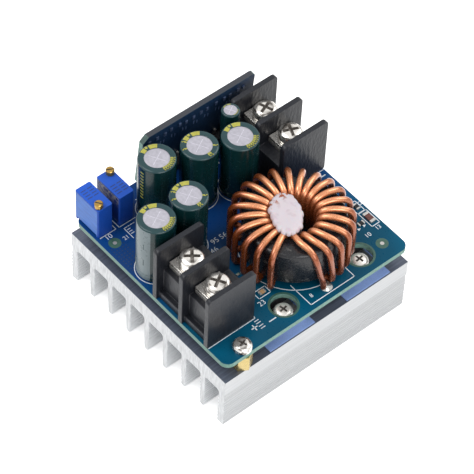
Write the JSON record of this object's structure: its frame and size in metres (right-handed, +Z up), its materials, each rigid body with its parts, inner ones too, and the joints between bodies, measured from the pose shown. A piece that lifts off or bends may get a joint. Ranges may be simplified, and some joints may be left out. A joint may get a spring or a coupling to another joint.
{
  "type": "buck converter module",
  "caption": "Step-down power module: circuit board with toroidal choke, capacitors, trimmers, control board and barrier terminals on a finned aluminium heatsink.",
  "frame": {"origin": "centre of the heatsink's underside, on the surface the fin tips stand on", "axes": "+Z up; +X across the fins; +Y along the fins, from the output to the input terminals"},
  "size_m": [0.0625, 0.0623, 0.0446],
  "materials": {
    "heatsink_aluminium": "extruded and brushed, bare",
    "board_blue": "blue solder mask over copper",
    "standoff_brass": "turned brass",
    "screw_nickel": "nickel plated",
    "pad_silicone": "soft thermal pad",
    "device_lead": "tinned copper",
    "device_epoxy": "moulded epoxy",
    "core_powder": "black coated powder core",
    "winding_copper": "enamelled copper wire",
    "plug_silicone": "white silicone",
    "sleeve_green": "shrunk vinyl sleeve",
    "can_aluminium": "drawn can",
    "terminal_black": "moulded black plastic",
    "contact_tin": "tinned stamping",
    "clamp_nickel": "nickel plated steel",
    "trimmer_blue": "blue moulding",
    "trimmer_brass": "turned brass",
    "header_black": "moulded black plastic",
    "chip_black": "moulded epoxy",
    "chip_ceramic": "ceramic body",
    "solder": "bright solder"
  },
  "bodies": {
    "root": {"heatsink": "heatsink_aluminium", "main_board": "board_blue", "board_standoffs": "standoff_brass", "board_screws": "screw_nickel", "thermal_pads": "pad_silicone", "transistor_frame": "device_lead", "transistor_mould": "device_epoxy", "rectifier_frame": "device_lead", "rectifier_mould": "device_epoxy", "device_washers": "screw_nickel", "device_screws": "screw_nickel", "toroid_core": "core_powder", "toroid_winding": "winding_copper", "toroid_plug": "plug_silicone", "choke_solder": "solder", "small_capacitor_can": "can_aluminium", "small_capacitor_sleeve": "sleeve_green", "output_terminal_housing": "terminal_black", "input_terminal_housing": "terminal_black", "output_contact_plates": "contact_tin", "input_contact_plates": "contact_tin", "current_trimmer_body": "trimmer_blue", "voltage_trimmer_body": "trimmer_blue", "trimmer_pins": "device_lead", "control_board": "board_blue", "control_header": "header_black", "control_header_pins": "device_lead", "control_chips": "chip_black", "board_chip_parts": "chip_ceramic", "capacitor_1_can": "can_aluminium", "capacitor_1_sleeve": "sleeve_green", "capacitor_2_can": "can_aluminium", "capacitor_2_sleeve": "sleeve_green", "capacitor_3_can": "can_aluminium", "capacitor_3_sleeve": "sleeve_green", "capacitor_4_can": "can_aluminium", "capacitor_4_sleeve": "sleeve_green", "capacitor_5_can": "can_aluminium", "capacitor_5_sleeve": "sleeve_green"},
    "output_left_clamp": {"output_left_clamp_washer": "clamp_nickel", "output_left_spring_washer": "clamp_nickel"},
    "output_left_screw": {"output_left_clamp_screw": "clamp_nickel"},
    "output_right_clamp": {"output_right_clamp_washer": "clamp_nickel", "output_right_spring_washer": "clamp_nickel"},
    "output_right_screw": {"output_right_clamp_screw": "clamp_nickel"},
    "input_left_clamp": {"input_left_clamp_washer": "clamp_nickel", "input_left_spring_washer": "clamp_nickel"},
    "input_left_screw": {"input_left_clamp_screw": "clamp_nickel"},
    "input_right_clamp": {"input_right_clamp_washer": "clamp_nickel", "input_right_spring_washer": "clamp_nickel"},
    "input_right_screw": {"input_right_clamp_screw": "clamp_nickel"},
    "current_adjuster": {"current_trimmer_screw": "trimmer_brass"},
    "voltage_adjuster": {"voltage_trimmer_screw": "trimmer_brass"}
  },
  "joints": [
    {"name": "output_left_clamp_lift", "type": "slide", "parent": "root", "child": "output_left_clamp", "axis": [0, 0, 1], "range_m": [0, 0.003]},
    {"name": "output_left_screw_turn", "type": "hinge", "parent": "output_left_clamp", "child": "output_left_screw", "pos_m": [0.0078, -0.0231, 0.038], "axis": [0, 0, 1], "range_deg": [0, 1800]},
    {"name": "output_right_clamp_lift", "type": "slide", "parent": "root", "child": "output_right_clamp", "axis": [0, 0, 1], "range_m": [0, 0.003]},
    {"name": "output_right_screw_turn", "type": "hinge", "parent": "output_right_clamp", "child": "output_right_screw", "pos_m": [0.0178, -0.0231, 0.038], "axis": [0, 0, 1], "range_deg": [0, 1800]},
    {"name": "input_left_clamp_lift", "type": "slide", "parent": "root", "child": "input_left_clamp", "axis": [0, 0, 1], "range_m": [0, 0.003]},
    {"name": "input_left_screw_turn", "type": "hinge", "parent": "input_left_clamp", "child": "input_left_screw", "pos_m": [-0.0083, 0.0234, 0.038], "axis": [0, 0, 1], "range_deg": [0, 1800]},
    {"name": "input_right_clamp_lift", "type": "slide", "parent": "root", "child": "input_right_clamp", "axis": [0, 0, 1], "range_m": [0, 0.003]},
    {"name": "input_right_screw_turn", "type": "hinge", "parent": "input_right_clamp", "child": "input_right_screw", "pos_m": [-0.0183, 0.0234, 0.038], "axis": [0, 0, 1], "range_deg": [0, 1800]},
    {"name": "current_adjuster_turn", "type": "hinge", "parent": "root", "child": "current_adjuster", "pos_m": [-0.02207, -0.02883, 0.0353], "axis": [0, 0, 1], "continuous": true},
    {"name": "voltage_adjuster_turn", "type": "hinge", "parent": "root", "child": "voltage_adjuster", "pos_m": [-0.02903, -0.01962, 0.0353], "axis": [0, 0, 1], "continuous": true}
  ],
  "couplings": [
    {"joint": "output_left_screw_turn", "follows": "output_left_clamp_lift", "rad_per_m": 10472},
    {"joint": "output_right_screw_turn", "follows": "output_right_clamp_lift", "rad_per_m": 10472},
    {"joint": "input_left_screw_turn", "follows": "input_left_clamp_lift", "rad_per_m": 10472},
    {"joint": "input_right_screw_turn", "follows": "input_right_clamp_lift", "rad_per_m": 10472}
  ]
}
